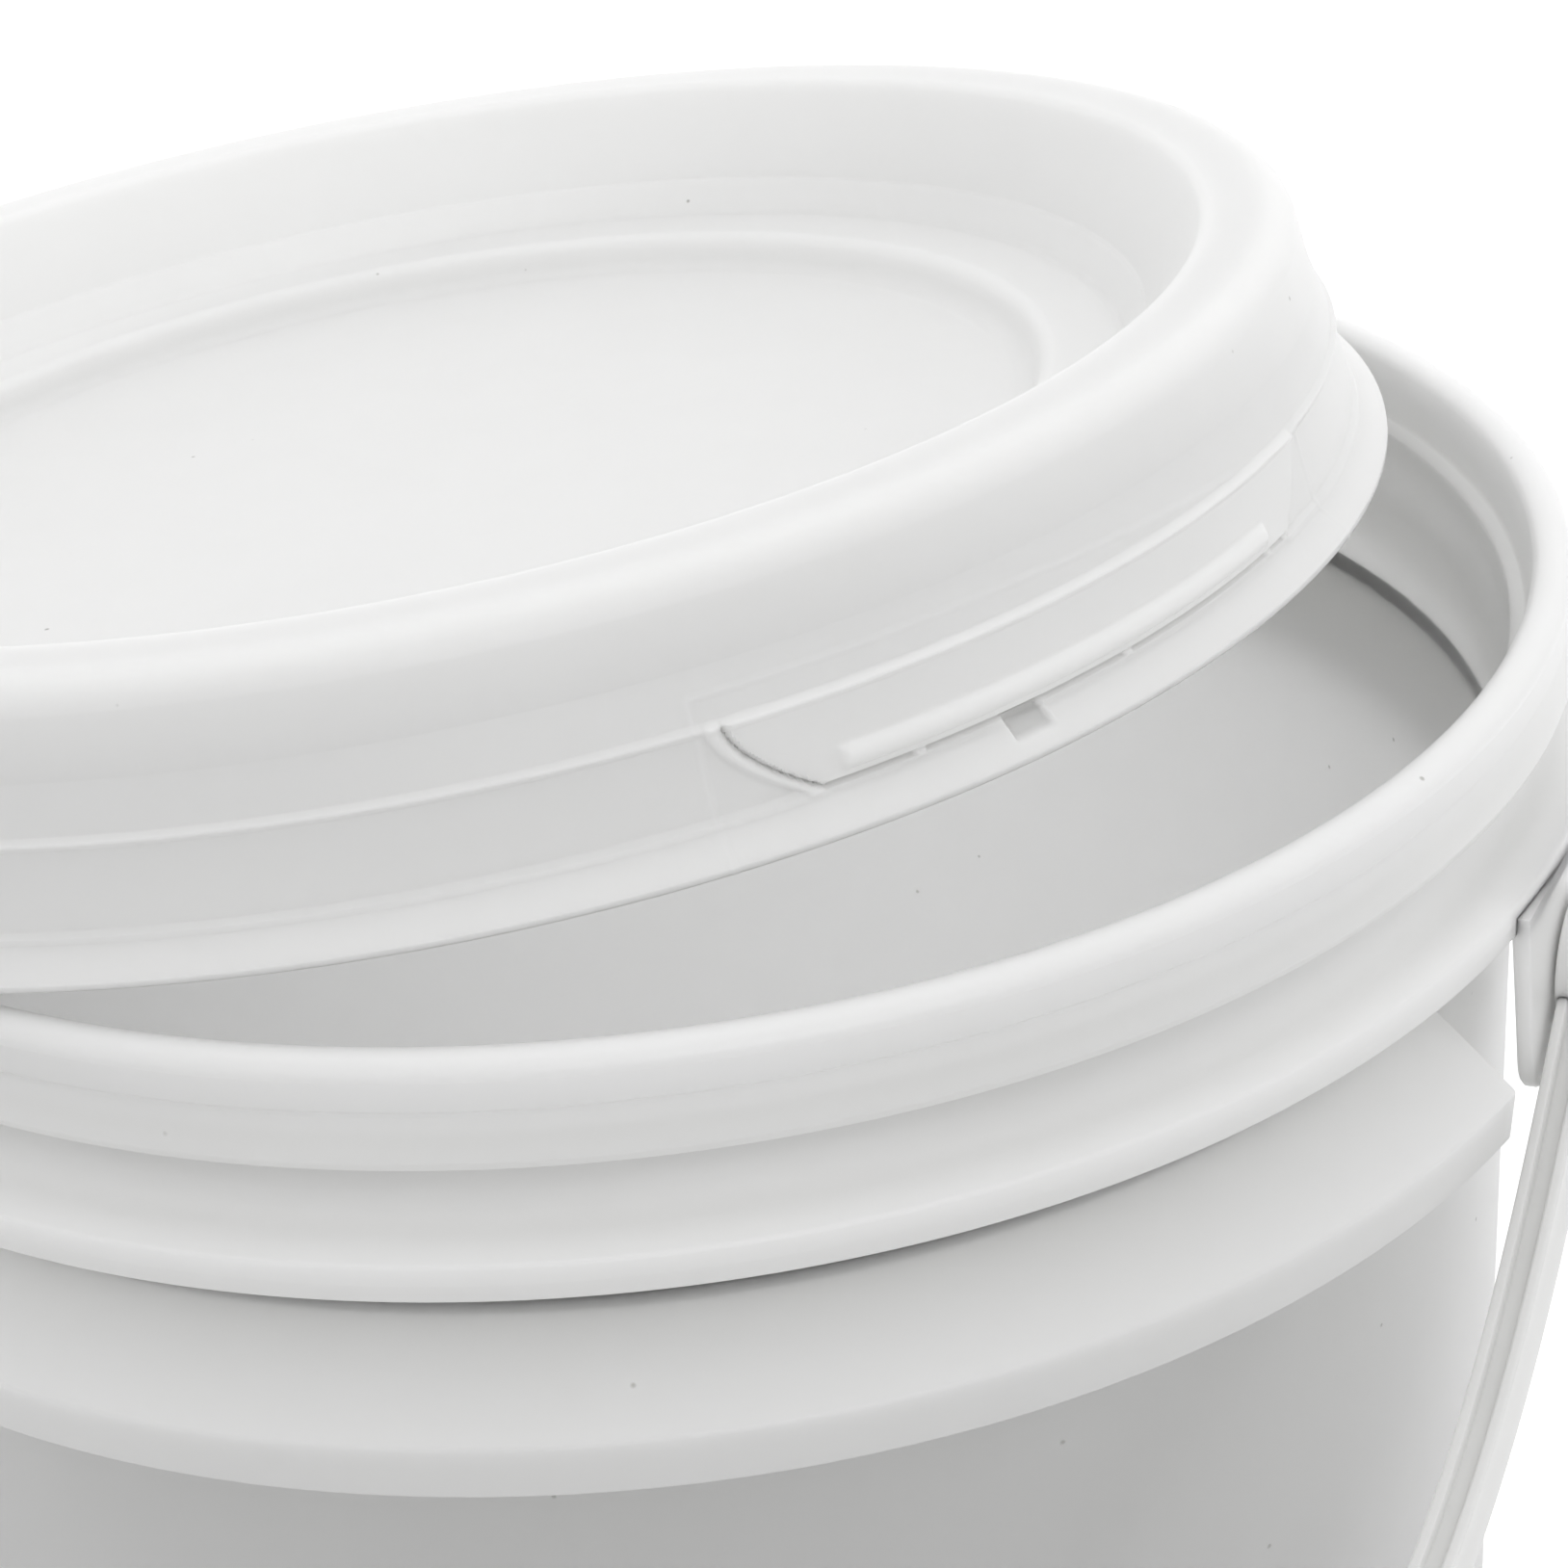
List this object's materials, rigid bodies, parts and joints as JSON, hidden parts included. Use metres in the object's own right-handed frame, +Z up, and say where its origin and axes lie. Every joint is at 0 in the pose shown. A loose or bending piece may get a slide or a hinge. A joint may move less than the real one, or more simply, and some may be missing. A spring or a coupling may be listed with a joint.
{
  "type": "water bucket with tap",
  "caption": "White moulded plastic bucket for drinking water, with a press-on lid lying askew, a swinging strap handle and a turning-lever tap low on its wall.",
  "frame": {"origin": "middle of the base's underside, on the bucket's axis", "axes": "+Z up along the bucket's axis, the tap faces -Y, the handle's pivots lie on the X axis"},
  "size_m": [0.3248, 0.3168, 0.2924],
  "materials": {
    "bucket": "glossy white polypropylene",
    "lid": "satin white polypropylene",
    "handle": "glossy white polypropylene",
    "tap_body": "glossy white plastic",
    "tap_plug": "glossy white plastic",
    "plug_o_ring_lower": "black rubber",
    "plug_o_ring_upper": "black rubber",
    "washer_outer": "black rubber",
    "washer_inner": "black rubber",
    "backnut": "glossy white plastic"
  },
  "bodies": {
    "bucket_body": {"bucket": "bucket", "lid": "lid", "tap_body": "tap_body", "washer_outer": "washer_outer", "washer_inner": "washer_inner", "backnut": "backnut"},
    "handle_body": {"handle": "handle"},
    "plug_body": {"tap_plug": "tap_plug", "plug_o_ring_lower": "plug_o_ring_lower", "plug_o_ring_upper": "plug_o_ring_upper"}
  },
  "joints": [
    {"name": "handle_swing", "type": "hinge", "parent": "bucket_body", "child": "handle_body", "pos_m": [0, 0, 0.2061], "axis": [-1, 0, 0], "range_deg": [0, 55]},
    {"name": "tap_lever", "type": "hinge", "parent": "bucket_body", "child": "plug_body", "pos_m": [0, -0.15264, 0.038], "axis": [0, 0, 1], "range_deg": [0, 90]}
  ]
}
